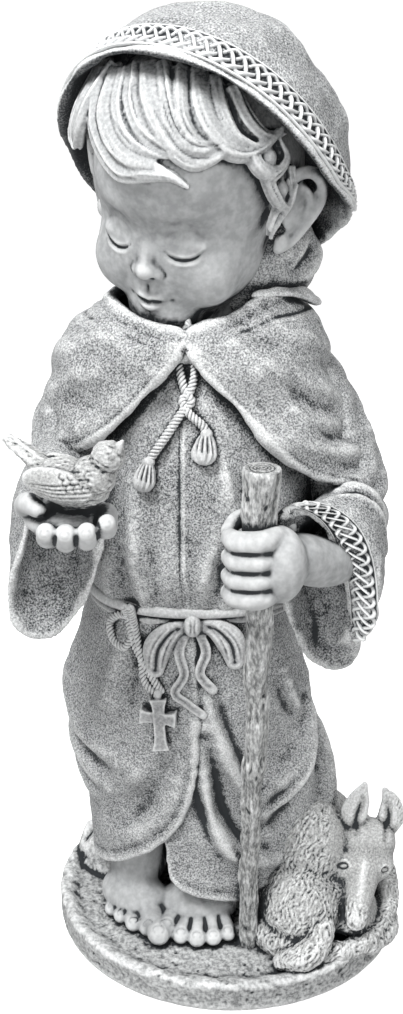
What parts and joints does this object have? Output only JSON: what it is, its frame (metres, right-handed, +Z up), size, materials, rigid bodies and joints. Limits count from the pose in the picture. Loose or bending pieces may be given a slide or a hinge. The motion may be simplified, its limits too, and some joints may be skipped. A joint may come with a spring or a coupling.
{
  "type": "garden statue of a child saint",
  "caption": "Hooded child saint cast with a bird on one open palm, a staff in the other hand and a lying fawn at bare feet, on an oval base; stands on its flat underside.",
  "frame": {"origin": "centre of the oval base, on its flat underside", "axes": "+Z up along the figure; -Y is the front, where the toes, the staff and the open palm are; +X is the staff's and the fawn's side"},
  "size_m": [0.2553, 0.2454, 0.6061],
  "materials": {
    "cast_stone": "light grey cast stone, matt, with a dark antiqued wash in its hollows and bright rubbed edges"
  },
  "bodies": {
    "root": {"saint_francis_statue": "cast_stone"}
  },
  "joints": []
}
